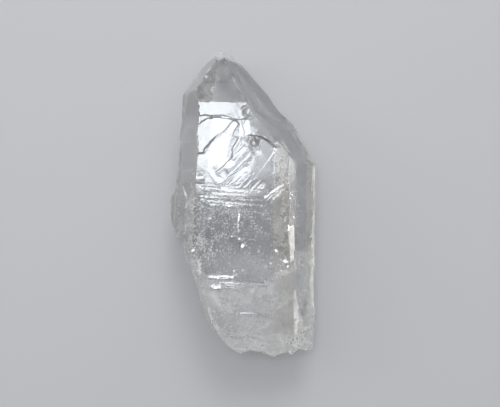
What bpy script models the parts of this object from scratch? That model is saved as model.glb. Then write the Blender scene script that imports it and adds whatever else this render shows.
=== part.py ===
"""A natural quartz point lying on one prism face, tip towards +Y.

Six prism faces run along Y and six rhomb faces close the tip, each at the angle quartz grows
with. The base is a broken, domed surface. The crystal is one solid. All sizes are in metres;
the tables of points and sizes are in millimetres and are turned into metres where they are used.
"""
import math
import random

import bmesh
import bpy
from mathutils import Matrix, Vector, noise

OBJECT_NAME = "quartz_crystal"
COLLECTION_NAME = "quartz_point"
MM = 0.001

# Driving sizes
THICKNESS = 22.0 * MM
STOCK_HALF_SIZE = 60.0 * MM
RHOMB_LEAN = 38.22
WELD_DISTANCE = 0.002 * MM
FLAT_ANGLE = 0.2

# Crystal faces: azimuth from straight up towards +X, lean towards the tip, distance from the
# point of the floor under the middle of the crystal
FACES = {
    "prism_up": (0.0, 0.0, THICKNESS),
    "prism_down": (180.0, 0.0, 0.0),
    "prism_left_up": (-60.0, 0.96, 21.31 * MM),
    "prism_right_up": (60.0, 0.73, 22.29 * MM),
    "prism_left_down": (-120.0, 4.6, 9.36 * MM),
    "prism_right_down": (120.0, 1.6, 10.30 * MM),
    "edge_right_down": (170.5, 0.0, 1.37 * MM),
    "rhomb_up": (0.0, RHOMB_LEAN, 31.86 * MM),
    "rhomb_right_up": (60.0, RHOMB_LEAN, 23.19 * MM),
    "rhomb_left_up": (-60.0, RHOMB_LEAN, 32.8 * MM),
    "rhomb_left_down": (-120.0, RHOMB_LEAN, 26.8 * MM),
    "rhomb_right_down": (120.0, RHOMB_LEAN, 20.58 * MM),
    "rhomb_down": (180.0, RHOMB_LEAN, 21.6 * MM),
}
BACK_END = -44.0 * MM

# The smaller parallel crystal that swells the left side
SIDE_GROWTH_FACES = {
    "prism_up": (0.0, 0.0, 18.6 * MM),
    "prism_down": (180.0, 0.0, -3.2 * MM),
    "prism_left_up": (-60.0, 0.6, 21.6 * MM),
    "prism_left_down": (-120.0, 1.5, 11.7 * MM),
    "rhomb_left_up": (-60.0, RHOMB_LEAN, 18.6 * MM),
    "rhomb_left_down": (-120.0, RHOMB_LEAN, 9.0 * MM),
    "rhomb_up": (0.0, RHOMB_LEAN, 14.6 * MM),
    "inner_side": (90.0, 0.0, -6.0 * MM),
}
SIDE_GROWTH_BACK_END = -43.0 * MM

# The worn tip: facets that touch a small ball inside it, each by its turn from +Y towards +X
# and its rise
TIP_BALL_CENTRE = Vector((-5.3, 37.2, 6.3)) * MM
TIP_BALL_RADIUS = 2.95 * MM
TIP_FACETS = (
    (-29.0, -26.0), (-11.0, -30.0), (8.0, -24.0), (24.0, -28.0),
    (-29.0, 0.0), (-11.0, -3.0), (6.0, 4.0), (22.0, 0.0),
    (-6.0, 19.0), (12.0, 22.0), (8.0, 38.0), (26.0, 33.0))

# Shallow steps square to the axis: face, start and end along Y, depth
LEDGES = (
    ("prism_right_up", 3.0, 9.0, 0.11),
    ("prism_right_up", -9.2, -4.1, 0.09),
    ("prism_right_down", 2.2, 7.6, 0.16),
    ("prism_right_down", -14.0, -6.5, 0.20),
    ("prism_right_down", 12.5, 15.0, 0.14),
    ("prism_left_up", 6.5, 13.8, 0.12),
    ("prism_left_up", 17.5, 20.4, 0.10),
    ("prism_left_down", 4.0, 10.5, 0.22),
    ("prism_left_down", 14.0, 21.0, 0.15),
    ("rhomb_up", 27.4, 29.2, 0.10),
)
LEDGE_LENGTH = 50.0 * MM
LEDGE_CUTTER_HEIGHT = 3.0 * MM

# Growth terraces on the front face: depth and outline
TERRACES = {
    "terrace_top": (0.16, ((-16.0, 20.1), (-7.8, 20.3), (-4.1, 20.4), (-1.7, 19.7), (-0.2, 19.5),
                           (0.8, 20.4), (1.5, 21.6), (2.6, 24.5), (2.0, 28.0), (-16.0, 28.0))),
    "terrace_left": (0.13, ((-16.0, 11.2), (-9.8, 11.4), (-9.1, 12.3), (-8.1, 14.1), (-7.0, 15.0),
                            (-5.5, 15.9), (-4.5, 17.2), (-3.0, 18.6), (-4.3, 19.6), (-8.7, 19.7),
                            (-9.7, 19.0), (-10.8, 17.7), (-16.0, 16.6))),
    "terrace_right": (0.12, ((0.8, 16.0), (3.9, 15.5), (5.2, 14.6), (8.1, 12.6), (13.0, 14.5),
                             (6.0, 24.0), (2.4, 20.6), (1.2, 18.4))),
    "terrace_middle": (0.10, ((-1.6, 14.9), (-2.4, 13.3), (-3.0, 11.8), (-3.4, 9.6), (-4.4, 9.4),
                              (-4.0, 11.6), (-3.3, 13.6), (-2.7, 15.2))),
}
TERRACE_CUTTER_HALF_HEIGHT = 1.0 * MM

# Small growth pits on the front face: centre, radius and depth
PITS = {
    "pit_ring": ((2.4, 14.0), 1.25, 0.24),
    "pit_loop_upper": ((-1.4, 18.1), 0.75, 0.16),
    "pit_loop_lower": ((-0.6, 16.3), 0.65, 0.14),
    "pit_corner": ((0.0, 21.2), 1.0, 0.12),
    "pit_small": ((4.9, 12.1), 0.35, 0.12),
}
PIT_STRETCH = 1.1

# Growth lines on the front face. The slanting ones start on one row and climb to the right.
SLANT_COUNT = 9
SLANT_ROW_START = (-4.4, 2.6)
SLANT_ROW_STEP = (1.15, 0.10)
SLANT_SCATTER = 0.5
SLANT_LENGTHS = (3.6, 7.2)
SLANT_ANGLE = 44.0
SLANT_ANGLE_SCATTER = 3.0
SLANT_WIDTH = 0.34
SLANT_DEPTHS = (0.09, 0.15)
LOW_SLANT_STARTS = ((4.9, 0.4), (6.1, 0.2), (7.0, 0.0))
LOW_SLANT_RUN = (4.5, 3.4)
LOW_SLANT_WIDTH = 0.36
LOW_SLANT_DEPTH = 0.13
LEVEL_COUNT = 6
LEVEL_TOP = 3.1
LEVEL_STEP = 0.62
LEVEL_FALL = 0.5
LEVEL_STARTS = (-11.5, -7.5)
LEVEL_ENDS = (1.0, 8.0)
LEVEL_WIDTH = 0.30
LEVEL_DEPTHS = (0.07, 0.12)

BREAK_CUTTER_HEIGHT = 14.0 * MM

# Bites that leave the cusps of the base edge, and chips along the tip's edges: centre, radii
# and turn about Z
SCOOPS = {
    "bite_wide": ((4.9, -45.6, 13.5), (7.4, 7.6, 13.0), 0.0),
    "bite_middle": ((11.2, -41.2, 14.5), (2.6, 2.8, 9.0), 0.0),
    "bite_right": ((15.6, -41.25, 14.0), (2.8, 3.0, 8.0), 0.0),
    "bite_low": ((-4.0, -43.5, 2.0), (6.5, 7.0, 9.0), 0.0),
    "chip_rhomb_edge": ((9.3, 25.3, 2.4), (4.4, 1.5, 3.0), -48.0),
    "chip_rhomb_edge_upper": ((6.9, 29.2, 4.2), (1.8, 1.1, 1.8), -48.0),
    "chip_rhomb_edge_lower": ((12.0, 23.2, 3.6), (1.5, 1.2, 1.6), -40.0),
    "flake_left": ((-17.4, -17.4, 14.5), (2.4, 4.2, 5.0), 22.0),
}


def outward(azimuth, lean):
    """Unit normal of a face at this azimuth around Y, leaning towards the tip."""
    turn = math.radians(azimuth)
    tilt = math.radians(lean)
    return Vector((math.sin(turn) * math.cos(tilt), math.sin(tilt), math.cos(turn) * math.cos(tilt)))


def slice_off(bm, normal, distance):
    """Removes what lies beyond one plane and closes the cut with a flat face."""
    everything = bm.verts[:] + bm.edges[:] + bm.faces[:]
    bmesh.ops.bisect_plane(
        bm, geom=everything, dist=WELD_DISTANCE, plane_co=normal * distance,
        plane_no=normal, clear_outer=True)
    rim = [edge for edge in bm.edges if edge.is_boundary]
    if rim:
        bmesh.ops.holes_fill(bm, edges=rim, sides=0)


def faceted_solid(faces, back_end):
    """A cube of stock cut down to a crystal by the planes of its faces."""
    bm = bmesh.new()
    bmesh.ops.create_cube(bm, size=2 * STOCK_HALF_SIZE)
    for azimuth, lean, distance in faces.values():
        slice_off(bm, outward(azimuth, lean), distance)
    slice_off(bm, Vector((0, -1, 0)), -back_end)
    return bm


def round_the_tip(bm):
    """Small facets that touch a ball take the place of the sharp tip."""
    for turn, rise in TIP_FACETS:
        a = math.radians(turn)
        b = math.radians(rise)
        normal = Vector((math.sin(a) * math.cos(b), math.cos(a) * math.cos(b), math.sin(b)))
        slice_off(bm, normal, normal.dot(TIP_BALL_CENTRE) + TIP_BALL_RADIUS)


def new_object(name, bm, collection):
    """An object made from this mesh, in this collection."""
    mesh = bpy.data.meshes.new(name)
    bmesh.ops.recalc_face_normals(bm, faces=bm.faces[:])
    bm.to_mesh(mesh)
    bm.free()
    item = bpy.data.objects.new(name, mesh)
    collection.objects.link(item)
    return item


def as_cutter(item):
    """Marks an object as a tool, not a part."""
    item.hide_render = True
    item.display_type = "WIRE"
    return item


def boolean(body, tool, operation):
    """Adds one Boolean and keeps its result as the body's own mesh."""
    step = body.modifiers.new(tool.name, "BOOLEAN")
    step.operation = operation
    step.solver = "EXACT"
    step.object = tool
    graph = bpy.context.evaluated_depsgraph_get()
    result = bpy.data.meshes.new_from_object(body.evaluated_get(graph))
    body.modifiers.remove(step)
    old = body.data
    body.data = result
    bpy.data.meshes.remove(old)


def frame_at(centre, normal, along):
    """Matrix with Z on the normal and Y as near to the given direction as it can be."""
    z = normal.normalized()
    x = along.cross(z).normalized()
    y = z.cross(x)
    matrix = Matrix((x, y, z)).transposed().to_4x4()
    matrix.translation = centre
    return matrix


def cut_the_ledges(body, cutters):
    """Shallow steps where the faces grew in sheets."""
    for i, (face, near, far, depth) in enumerate(LEDGES):
        azimuth, lean, distance = FACES[face]
        normal = outward(azimuth, lean)
        bm = bmesh.new()
        bmesh.ops.create_cube(bm, size=1.0)
        size = (LEDGE_LENGTH, (far - near) * MM, LEDGE_CUTTER_HEIGHT)
        bmesh.ops.scale(bm, vec=size, verts=bm.verts[:])
        middle = Vector((0, (near + far) / 2 * MM, 0))
        lift = distance - normal.dot(middle) - depth * MM + LEDGE_CUTTER_HEIGHT / 2
        matrix = frame_at(middle + normal * lift, normal, Vector((0, 1, 0)))
        bmesh.ops.transform(bm, matrix=matrix, verts=bm.verts[:])
        tool = as_cutter(new_object("ledge_%02d" % i, bm, cutters))
        boolean(body, tool, "DIFFERENCE")


def flat_outline(name, collection, points, depth):
    """A cutter that lowers the front face by depth inside an outline."""
    curve = bpy.data.curves.new(name, "CURVE")
    curve.dimensions = "2D"
    curve.fill_mode = "BOTH"
    curve.extrude = TERRACE_CUTTER_HALF_HEIGHT
    spline = curve.splines.new("POLY")
    spline.points.add(len(points) - 1)
    for slot, (x, y) in zip(spline.points, points):
        slot.co = (x * MM, y * MM, 0.0, 1.0)
    spline.use_cyclic_u = True
    item = bpy.data.objects.new(name, curve)
    collection.objects.link(item)
    item.location.z = THICKNESS - depth + TERRACE_CUTTER_HALF_HEIGHT
    graph = bpy.context.evaluated_depsgraph_get()
    mesh = bpy.data.meshes.new_from_object(item.evaluated_get(graph))
    bm = bmesh.new()
    bm.from_mesh(mesh)
    bmesh.ops.remove_doubles(bm, verts=bm.verts[:], dist=WELD_DISTANCE)
    bmesh.ops.transform(bm, matrix=item.matrix_world, verts=bm.verts[:])
    bpy.data.objects.remove(item)
    bpy.data.meshes.remove(mesh)
    return as_cutter(new_object(name, bm, collection))


def scoop(body, cutters, name, centre, radii, turn=0.0, segments=20, rings=12):
    """Takes out a shell-shaped hollow with a stretched ball."""
    bm = bmesh.new()
    bmesh.ops.create_uvsphere(bm, u_segments=segments, v_segments=rings, radius=1.0)
    matrix = Matrix.Translation(Vector(centre) * MM)
    matrix = matrix @ Matrix.Rotation(math.radians(turn), 4, "Z")
    matrix = matrix @ Matrix.Diagonal((radii[0] * MM, radii[1] * MM, radii[2] * MM, 1.0))
    bmesh.ops.transform(bm, matrix=matrix, verts=bm.verts[:])
    boolean(body, as_cutter(new_object(name, bm, cutters)), "DIFFERENCE")


def lower_the_terraces(body, cutters):
    """The front face's terraces and pits."""
    for name, (depth, outline) in TERRACES.items():
        boolean(body, flat_outline(name, cutters, outline, depth * MM), "DIFFERENCE")
    for name, (centre, radius, depth) in PITS.items():
        height = THICKNESS / MM - depth + radius
        scoop(body, cutters, name, (centre[0], centre[1], height),
              (radius * PIT_STRETCH, radius, radius), segments=12, rings=10)


def groove(body, cutters, name, start, end, width, depth):
    """A shallow V along the front face between two points of it."""
    a = Vector((start[0], start[1], 0)) * MM
    b = Vector((end[0], end[1], 0)) * MM
    run = b - a
    bm = bmesh.new()
    bmesh.ops.create_cone(
        bm, cap_ends=True, segments=4, radius1=1.0, radius2=1.0, depth=run.length)
    bmesh.ops.scale(bm, vec=(width * MM / 2, depth * MM, 1.0), verts=bm.verts[:])
    matrix = frame_at((a + b) / 2 + Vector((0, 0, THICKNESS)), run, Vector((0, 0, 1)))
    bmesh.ops.transform(bm, matrix=matrix, verts=bm.verts[:])
    boolean(body, as_cutter(new_object(name, bm, cutters)), "DIFFERENCE")


def draw_the_striations(body, cutters):
    """Slanting growth lines across the front face, then lines square to the crystal's axis."""
    chance = random.Random(5)
    for i in range(SLANT_COUNT):
        x = SLANT_ROW_START[0] + SLANT_ROW_STEP[0] * i
        y = SLANT_ROW_START[1] + SLANT_ROW_STEP[1] * i + chance.uniform(-SLANT_SCATTER, SLANT_SCATTER)
        length = chance.uniform(*SLANT_LENGTHS)
        angle = math.radians(SLANT_ANGLE + chance.uniform(-SLANT_ANGLE_SCATTER, SLANT_ANGLE_SCATTER))
        end = (x + length * math.cos(angle), y + length * math.sin(angle))
        depth = chance.uniform(*SLANT_DEPTHS)
        groove(body, cutters, "slant_%02d" % i, (x, y), end, SLANT_WIDTH, depth)
    for i, (x, y) in enumerate(LOW_SLANT_STARTS):
        end = (x + LOW_SLANT_RUN[0], y + LOW_SLANT_RUN[1])
        groove(body, cutters, "slant_low_%d" % i, (x, y), end, LOW_SLANT_WIDTH, LOW_SLANT_DEPTH)
    for i in range(LEVEL_COUNT):
        y = LEVEL_TOP - LEVEL_STEP * i
        start = (chance.uniform(*LEVEL_STARTS), y)
        end = (chance.uniform(*LEVEL_ENDS), y - LEVEL_FALL)
        depth = chance.uniform(*LEVEL_DEPTHS)
        groove(body, cutters, "level_%02d" % i, start, end, LEVEL_WIDTH, depth)


def bowed(distance, radius):
    """Height of a surface that curves away with this radius, at this distance."""
    return -distance * distance / (2 * radius)


def ripples(x, y, source, spacing, depth, reach):
    """Rings around the point where a break began, fading with distance."""
    away = math.hypot(x - source[0] * MM, y - source[1] * MM) / MM
    return depth * MM * math.sin(2 * math.pi * away / spacing) * math.exp(-away / reach)


def waviness(x, y, seed, depth, scale):
    """Soft unevenness whose humps are about this scale apart."""
    place = Vector((x / MM / scale + seed, y / MM / scale - seed, 0.37 * seed))
    return depth * MM * noise.noise(place)


def left_break(x, y):
    """Straight along the crystal, rounded from its upper side to its lower side."""
    return (bowed(x, radius=20.8 * MM)
            + ripples(x, y, source=(3, 15), spacing=5.2, depth=0.22, reach=30)
            + waviness(x, y, seed=3.1, depth=0.5, scale=9))


def corner_break(x, y):
    """Rounds more quickly towards the base (+x) than towards the long break."""
    turn = 15.6 * MM if x > 0 else 31.0 * MM
    return (bowed(x, radius=turn) + bowed(y, radius=20.0 * MM)
            + waviness(x, y, seed=7.7, depth=0.3, scale=5))


def front_break(x, y):
    """The domed break below the front face."""
    return (bowed(x + 1.0 * MM, radius=91.0 * MM) + bowed(y, radius=111.0 * MM)
            + ripples(x, y, source=(6, 12), spacing=4.4, depth=0.09, reach=16)
            + waviness(x, y, seed=1.9, depth=0.35, scale=8))


def right_break(x, y):
    """A shallow break along the right side: two hollows with a rib between them."""
    rib_depth = 0.28 * MM
    rib_place = 4.5 * MM
    rib_spacing = 14.0 * MM
    return (-rib_depth * math.cos(2 * math.pi * (y - rib_place) / rib_spacing)
            + ripples(x, y, source=(0, -9), spacing=2.6, depth=0.14, reach=7)
            + waviness(x, y, seed=5.3, depth=0.25, scale=5))


def base_break(x, y):
    """The rough end of the crystal."""
    return (ripples(x, y, source=(2, -8), spacing=4.1, depth=0.3, reach=18)
            + waviness(x, y, seed=8.6, depth=1.6, scale=7))


# Broken surfaces: centre, normal, direction of their own Y, size, grid cells and relief
BREAKS = {
    "break_left": ((-13.35, -19.6, 10.5), (-0.928, -0.3705, 0.0), (0, 1, 0),
                   (40, 62), (26, 56), left_break),
    "break_corner": ((-6.7, -34.8, 10.0), (-0.78, -0.62, 0.0), (0, 0, 1),
                     (24, 40), (22, 30), corner_break),
    "break_front": ((0.0, -29.5, 19.65), (0.0, -0.294, 0.956), (0, 1, 0),
                    (56, 38), (60, 44), front_break),
    "break_right": ((17.2, -27.0, 14.9), (0.866, 0.012, 0.5), (0, 1, 0),
                    (26, 30), (24, 38), right_break),
    "break_end": ((8.0, -39.2, 15.0), (0.0, -0.955, -0.296), (0, 0, 1),
                  (60, 50), (44, 36), base_break),
}


def broken_block(name, collection, place, size, cells, relief):
    """A block whose underside is a broken surface: relief(x, y) is that side's height."""
    bm = bmesh.new()
    bmesh.ops.create_grid(bm, x_segments=cells[0], y_segments=cells[1], size=0.5)
    for vert in bm.verts:
        vert.co.x *= size[0] * MM
        vert.co.y *= size[1] * MM
        vert.co.z = relief(vert.co.x, vert.co.y)
    rim = [edge for edge in bm.edges if edge.is_boundary]
    raised = bmesh.ops.extrude_edge_only(bm, edges=rim)["geom"]
    for item in raised:
        if isinstance(item, bmesh.types.BMVert):
            item.co.z = BREAK_CUTTER_HEIGHT
    bmesh.ops.holes_fill(bm, edges=[edge for edge in bm.edges if edge.is_boundary], sides=0)
    bmesh.ops.transform(bm, matrix=place, verts=bm.verts[:])
    return as_cutter(new_object(name, bm, collection))


def break_the_base(body, cutters):
    """The broken surfaces where the crystal was torn from its matrix, and the bites in them."""
    for name, (centre, normal, along, size, cells, relief) in BREAKS.items():
        place = frame_at(Vector(centre) * MM, Vector(normal), Vector(along))
        boolean(body, broken_block(name, cutters, place, size, cells, relief), "DIFFERENCE")
    for name, (centre, radii, turn) in SCOOPS.items():
        scoop(body, cutters, name, centre, radii, turn)


def tidy(body):
    """Welds what the cuts left closer than the eye can see and turns the faces outward."""
    bm = bmesh.new()
    bm.from_mesh(body.data)
    bmesh.ops.remove_doubles(bm, verts=bm.verts[:], dist=WELD_DISTANCE)
    bmesh.ops.dissolve_limit(
        bm, angle_limit=math.radians(FLAT_ANGLE), verts=bm.verts[:], edges=bm.edges[:])
    bmesh.ops.dissolve_degenerate(bm, dist=WELD_DISTANCE, edges=bm.edges[:])
    bmesh.ops.triangulate(bm, faces=bm.faces[:], quad_method="BEAUTY", ngon_method="BEAUTY")
    bmesh.ops.recalc_face_normals(bm, faces=bm.faces[:])
    bm.to_mesh(body.data)
    bm.free()


def centre_the_footprint(body):
    """Puts the origin on the floor under the middle of the crystal's bounding box."""
    xs = [vert.co.x for vert in body.data.vertices]
    ys = [vert.co.y for vert in body.data.vertices]
    zs = [vert.co.z for vert in body.data.vertices]
    shift = Vector((-(min(xs) + max(xs)) / 2, -(min(ys) + max(ys)) / 2, -min(zs)))
    body.data.transform(Matrix.Translation(shift))


def clear_quartz():
    """Colourless, see-through, a little frosted where the surface is worn."""
    material = bpy.data.materials.new("clear_quartz")
    material.use_nodes = True
    shader = material.node_tree.nodes["Principled BSDF"]
    shader.inputs["Base Color"].default_value = (0.93, 0.94, 0.94, 1.0)
    shader.inputs["Roughness"].default_value = 0.06
    shader.inputs["Metallic"].default_value = 0.0
    shader.inputs["IOR"].default_value = 1.55
    shader.inputs["Transmission Weight"].default_value = 1.0
    return material


def main():
    for item in list(bpy.data.objects):
        bpy.data.objects.remove(item)
    parts = bpy.data.collections.new(COLLECTION_NAME)
    cutters = bpy.data.collections.new("cutters")
    for collection in (parts, cutters):
        bpy.context.scene.collection.children.link(collection)

    bm = faceted_solid(FACES, BACK_END)
    round_the_tip(bm)
    body = new_object(OBJECT_NAME, bm, parts)
    growth = new_object("side_growth", faceted_solid(SIDE_GROWTH_FACES, SIDE_GROWTH_BACK_END), cutters)
    boolean(body, as_cutter(growth), "UNION")
    cut_the_ledges(body, cutters)
    lower_the_terraces(body, cutters)
    draw_the_striations(body, cutters)
    break_the_base(body, cutters)
    tidy(body)
    centre_the_footprint(body)
    body.data.materials.clear()
    body.data.materials.append(clear_quartz())


main()
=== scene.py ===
"""Looks of the quartz point: a clear crystal with growth relief, veils inside it and a frosted base.

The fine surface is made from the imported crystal, face by face. Lengths are millimetres unless a
comment says otherwise, and the scene itself is in metres.
"""
import math
import random

import bmesh
import bpy
import numpy as np
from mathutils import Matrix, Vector, noise
from mathutils.bvhtree import BVHTree
from mathutils.kdtree import KDTree
from mathutils.geometry import delaunay_2d_cdt


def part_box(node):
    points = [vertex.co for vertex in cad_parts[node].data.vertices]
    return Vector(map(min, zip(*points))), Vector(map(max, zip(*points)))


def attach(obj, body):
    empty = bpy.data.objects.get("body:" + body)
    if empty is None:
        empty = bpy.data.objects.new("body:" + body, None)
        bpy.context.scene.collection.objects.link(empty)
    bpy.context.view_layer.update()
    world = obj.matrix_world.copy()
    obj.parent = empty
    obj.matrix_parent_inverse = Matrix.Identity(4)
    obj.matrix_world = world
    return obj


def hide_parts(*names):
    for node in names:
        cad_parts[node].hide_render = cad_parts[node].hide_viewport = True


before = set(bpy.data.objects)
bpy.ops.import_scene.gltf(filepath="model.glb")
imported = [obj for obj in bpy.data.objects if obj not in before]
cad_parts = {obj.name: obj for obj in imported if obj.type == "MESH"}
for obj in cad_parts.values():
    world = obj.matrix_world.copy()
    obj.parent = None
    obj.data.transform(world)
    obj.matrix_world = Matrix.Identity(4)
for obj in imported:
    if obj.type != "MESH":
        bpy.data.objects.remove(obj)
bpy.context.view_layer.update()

MM = 0.001
NODE = "quartz_crystal"

# The photograph: its size in pixels and the camera that took it
PHOTO_WIDTH = 500
PHOTO_HEIGHT = 407
CAMERA_PLACE = (1.678, -1.214, 168.4)
CAMERA_ROLL = math.radians(1.6)
FOCAL_PIXELS = 600.0
SENSOR_WIDTH = 36.0

# Heights of the front face and, about, of the broken base beside it
FRONT_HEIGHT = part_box(NODE)[1].z / MM
BASE_HEIGHT = 19.0


def photo_point(column, row, height=FRONT_HEIGHT):
    """The point at this height that the photograph shows at this pixel."""
    scale = (CAMERA_PLACE[2] - height) / FOCAL_PIXELS
    across = (column - PHOTO_WIDTH / 2) * scale
    up = (PHOTO_HEIGHT / 2 - row) * scale
    x = across * math.cos(CAMERA_ROLL) - up * math.sin(CAMERA_ROLL)
    y = across * math.sin(CAMERA_ROLL) + up * math.cos(CAMERA_ROLL)
    return CAMERA_PLACE[0] + x, CAMERA_PLACE[1] + y


def photo_pixels(points):
    """Columns and rows at which the photograph shows these points, and a pixel's size there."""
    scale = (CAMERA_PLACE[2] - points[:, 2]) / FOCAL_PIXELS
    x = points[:, 0] - CAMERA_PLACE[0]
    y = points[:, 1] - CAMERA_PLACE[1]
    across = x * math.cos(CAMERA_ROLL) + y * math.sin(CAMERA_ROLL)
    up = y * math.cos(CAMERA_ROLL) - x * math.sin(CAMERA_ROLL)
    return PHOTO_WIDTH / 2 + across / scale, PHOTO_HEIGHT / 2 - up / scale, scale


# Section: the fine surface, one plain polygon of the crystal at a time

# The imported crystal: when its points and faces are one, and where the relief lies that is redone
WELD = 0.0015 * MM
FLAT_ANGLE = 0.15
DEAD_LEVEL = 0.99999
FRONT_RELIEF_DEPTH = 0.3
FRONT_RELIEF_START = -2.0

# What tells the kinds of faces apart: outward directions, and areas in square millimetres
LEVEL = 0.9999
UPWARD = 0.5
ALIKE_ANGLE = 0.5
FRONT_LEAST_AREA = 100.0
GROWN_LEAST_AREA = 2.0
GROWN_SHARED_AREA = 14.0

# Distance between points on each kind of face, and beside a polished step
SPACING = {"front": 0.22, "grown": 0.60, "broken": 0.27}
STEP_ZONE = 1.3
STEP_SPACING = 0.13
CLEAR_OF_SIDES = 0.55


def cad_copy():
    """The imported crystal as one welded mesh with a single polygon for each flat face."""
    bm = bmesh.new()
    bm.from_mesh(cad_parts[NODE].data)
    bmesh.ops.remove_doubles(bm, verts=bm.verts[:], dist=WELD)
    bm.normal_update()
    floor_of_relief = (FRONT_HEIGHT - FRONT_RELIEF_DEPTH) * MM
    front = []
    for face in bm.faces:
        high = min(vert.co.z for vert in face.verts) > floor_of_relief
        level = face.normal.z > DEAD_LEVEL
        if high and (level or min(vert.co.y for vert in face.verts) > FRONT_RELIEF_START * MM):
            front.append(face)
    bmesh.ops.delete(bm, geom=front, context="FACES")
    rim = [edge for edge in bm.edges if edge.is_boundary]
    bmesh.ops.holes_fill(bm, edges=rim, sides=0)
    bmesh.ops.dissolve_limit(
        bm, angle_limit=math.radians(FLAT_ANGLE), verts=bm.verts[:], edges=bm.edges[:])
    bm.normal_update()
    return bm


def kinds_of_faces(bm):
    """Each face's kind: one that grew flat, the front one among them, or a bit of a break."""
    faces = list(bm.faces)
    normals = np.array([tuple(face.normal) for face in faces])
    areas = np.array([face.calc_area() for face in faces]) / MM ** 2
    alike = normals @ normals.T > math.cos(math.radians(ALIKE_ANGLE))
    shared = alike @ areas
    kinds = {}
    for face, area, total in zip(faces, areas, shared):
        grown = area > GROWN_LEAST_AREA and total > GROWN_SHARED_AREA
        kinds[face] = "grown" if grown else "broken"
        if face.normal.z > LEVEL and area > FRONT_LEAST_AREA:
            kinds[face] = "front"
    return kinds


def spacings_of_faces(kinds):
    """The distance between points on each face: finer beside a polished step."""
    curves = np.vstack([curve for _, _, curve in polished_curves()])
    spacings = {}
    for face, kind in kinds.items():
        spacings[face] = SPACING[kind]
        if kind == "broken" and face.normal.z > UPWARD:
            middle = np.array(face.calc_center_median()[:2]) / MM
            if np.hypot(*(curves - middle).T).min() < STEP_ZONE:
                spacings[face] = STEP_SPACING
    return spacings


def split_edges(bm, spacings):
    """Cuts every edge into steps of the finer of its two faces."""
    for edge in list(bm.edges):
        step = min(spacings[face] for face in edge.link_faces) * MM
        pieces = max(1, round(edge.calc_length() / step))
        start, end = edge.verts
        for left in range(pieces, 1, -1):
            _, start = bmesh.utils.edge_split(edge, start, 1.0 / left)
            edge = next(e for e in start.link_edges if end in e.verts)


def nearest_on_line(points, line):
    """For 2-D points: signed distance from an open line (left is positive) and place along it."""
    best = np.full(len(points), 1e9)
    signed = np.zeros(len(points))
    place = np.zeros(len(points))
    walked = 0.0
    for a, b in zip(line[:-1], line[1:]):
        run = b - a
        length = math.hypot(*run)
        t = np.clip(((points - a) @ run) / max(length ** 2, 1e-12), 0, 1)
        gap = points - a - t[:, None] * run
        distance = np.hypot(gap[:, 0], gap[:, 1])
        closer = distance < best
        side = np.sign(run[0] * gap[:, 1] - run[1] * gap[:, 0])
        signed[closer] = (distance * side)[closer]
        place[closer] = (walked + t * length)[closer]
        best[closer] = distance[closer]
        walked += length
    return signed, place, walked


def inside(points, outline):
    """Which 2-D points lie inside an outline."""
    odd = np.zeros(len(points), bool)
    for a, b in zip(outline, np.roll(outline, -1, axis=0)):
        if a[1] == b[1]:
            continue
        between = (a[1] > points[:, 1]) != (b[1] > points[:, 1])
        crossing = a[0] + (points[:, 1] - a[1]) * (b[0] - a[0]) / (b[1] - a[1])
        odd ^= between & (points[:, 0] < crossing)
    return odd


def inner_points(outline, spacing):
    """A triangular grid of 2-D points inside an outline, clear of its sides, and their margins."""
    low = outline.min(0)
    high = outline.max(0)
    rows = np.arange(low[1] + spacing / 2, high[1], spacing * math.sin(math.pi / 3))
    columns = np.arange(low[0], high[0], spacing)
    grid = np.array([(x + (i % 2) * spacing / 2, y) for i, y in enumerate(rows) for x in columns])
    grid = grid.reshape(-1, 2)
    grid = grid[inside(grid, outline)]
    margins = np.abs(nearest_on_line(grid, np.vstack([outline, outline[:1]]))[0])
    keep = margins > CLEAR_OF_SIDES * spacing
    return grid[keep], margins[keep]


class FineSurface:
    """Points and triangles of the whole crystal.

    Each point has a kind, the outward direction of its face and its margin from the face's sides.
    Each triangle has the number of the face that it fills.
    """

    def __init__(self, bm):
        self.made = []
        self.triangles = []
        self.triangle_faces = []
        kinds = kinds_of_faces(bm)
        spacings = spacings_of_faces(kinds)
        split_edges(bm, spacings)
        corner_ids = {}
        for vert in bm.verts:
            around = {kinds[face] for face in vert.link_faces}
            kind = "broken" if around == {"broken"} else "edge"
            corner_ids[vert] = self.add_point(vert.co / MM, kind, vert.normal, 0.0)
        for number, face in enumerate(bm.faces):
            triangles = self.fill(face, kinds[face], spacings[face], corner_ids)
            self.triangles += triangles
            self.triangle_faces += [number] * len(triangles)
        self.points, self.kinds, self.normals, self.margins = map(np.array, zip(*self.made))
        self.triangles = np.array(self.triangles)
        self.triangle_faces = np.array(self.triangle_faces)
        self.face_kinds = np.array([kinds[face] for face in bm.faces])
        self.face_normals = np.array([tuple(face.normal) for face in bm.faces])

    def add_point(self, place, kind, normal, margin):
        """Adds one point and gives its number."""
        self.made.append((tuple(place), kind, tuple(normal), margin))
        return len(self.made) - 1

    def fill(self, face, kind, spacing, corner_ids):
        """Small triangles that fill one polygon and share the points along its sides."""
        normal = face.normal.copy()
        helper = Vector((0, 1, 0)) if abs(normal.y) < 0.9 else Vector((1, 0, 0))
        across = helper.cross(normal).normalized()
        along = normal.cross(across)
        verts = [loop.vert for loop in face.loops]
        ids = [corner_ids[vert] for vert in verts]
        if len(ids) == 3:
            return [ids]
        outline = np.array([(v.co.dot(across), v.co.dot(along)) for v in verts]) / MM
        heights = [vert.co.dot(normal) / MM for vert in verts]
        height = max(heights) if kind == "front" else heights[0]
        grid, margins = inner_points(outline, spacing)
        for (x, y), margin in zip(grid, margins):
            place = across * x + along * y + normal * height
            ids.append(self.add_point(place, kind, normal, margin))
        flat = [Vector(point) for point in np.vstack([outline, grid])]
        made = delaunay_2d_cdt(flat, [], [list(range(len(verts)))], 1, 1e-6)
        sources = [ids[group[0]] if group else None for group in made[3]]
        triangles = [[sources[i] for i in triangle] for triangle in made[2]]
        return [picked for picked in triangles if None not in picked and len(set(picked)) == 3]


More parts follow.
